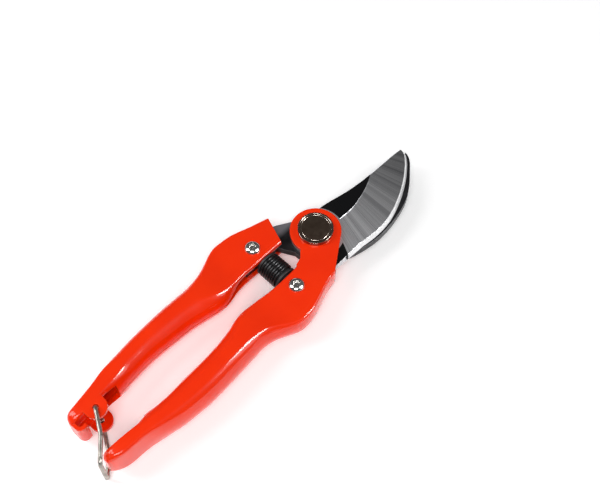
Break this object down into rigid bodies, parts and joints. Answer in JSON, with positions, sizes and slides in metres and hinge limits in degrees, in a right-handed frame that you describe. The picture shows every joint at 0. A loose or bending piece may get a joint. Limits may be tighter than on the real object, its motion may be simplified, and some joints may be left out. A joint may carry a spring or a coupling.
{
  "type": "bypass pruner",
  "caption": "One-hand bypass pruner with pressed-steel handles, a ground cutting blade passing a black hook, a coil spring between the handles and a wire latch at their ends.",
  "frame": {"origin": "on the pivot axis, in the plane of the pivot nut's outer face, on which the tool rests", "axes": "+X to the blade tips, +Y to the handle that carries the hook, +Z along the pivot axis to its capped front"},
  "size_m": [0.2172, 0.0584, 0.0226],
  "materials": {
    "handle_paint": "gloss red-orange enamel",
    "ground_steel": "ground, with a black back",
    "black_steel": "blackened, satin",
    "plated_steel": "zinc plated",
    "dark_nickel": "polished dark nickel",
    "bronze": "machined",
    "nylon": "natural nylon",
    "bright_nickel": "bright nickel plate",
    "black_plastic": "moulded",
    "wire_steel": "drawn, unpolished"
  },
  "bodies": {
    "left_handle_body": {"left_handle": "handle_paint", "counter_blade": "black_steel", "left_handle_screw": "bright_nickel", "left_screw_nut": "plated_steel", "left_tang_spacer": "plated_steel", "left_spring_seat": "black_plastic", "compression_spring": "black_steel"},
    "right_handle_body": {"right_handle": "handle_paint", "cutting_blade": "ground_steel", "pivot_bolt": "plated_steel", "pivot_cap": "dark_nickel", "pivot_bush": "bronze", "front_thrust_washer": "nylon", "back_thrust_washer": "nylon", "pivot_spring_washer": "plated_steel", "pivot_nut": "plated_steel", "right_handle_screw": "bright_nickel", "right_screw_nut": "plated_steel", "right_tang_spacer": "plated_steel", "right_spring_seat": "black_plastic"},
    "latch_body": {"latch_wire": "wire_steel"}
  },
  "joints": [
    {"name": "handle_pivot", "type": "hinge", "parent": "left_handle_body", "child": "right_handle_body", "pos_m": [0, 0, 0.0113], "axis": [0, 0, 1], "range_deg": [0, 35], "deforming": ["compression_spring"]},
    {"name": "latch_swing", "type": "hinge", "parent": "left_handle_body", "child": "latch_body", "pos_m": [-0.133, 0.0052, 0.0113], "axis": [0, 0, 1], "range_deg": [-150, 31]}
  ]
}
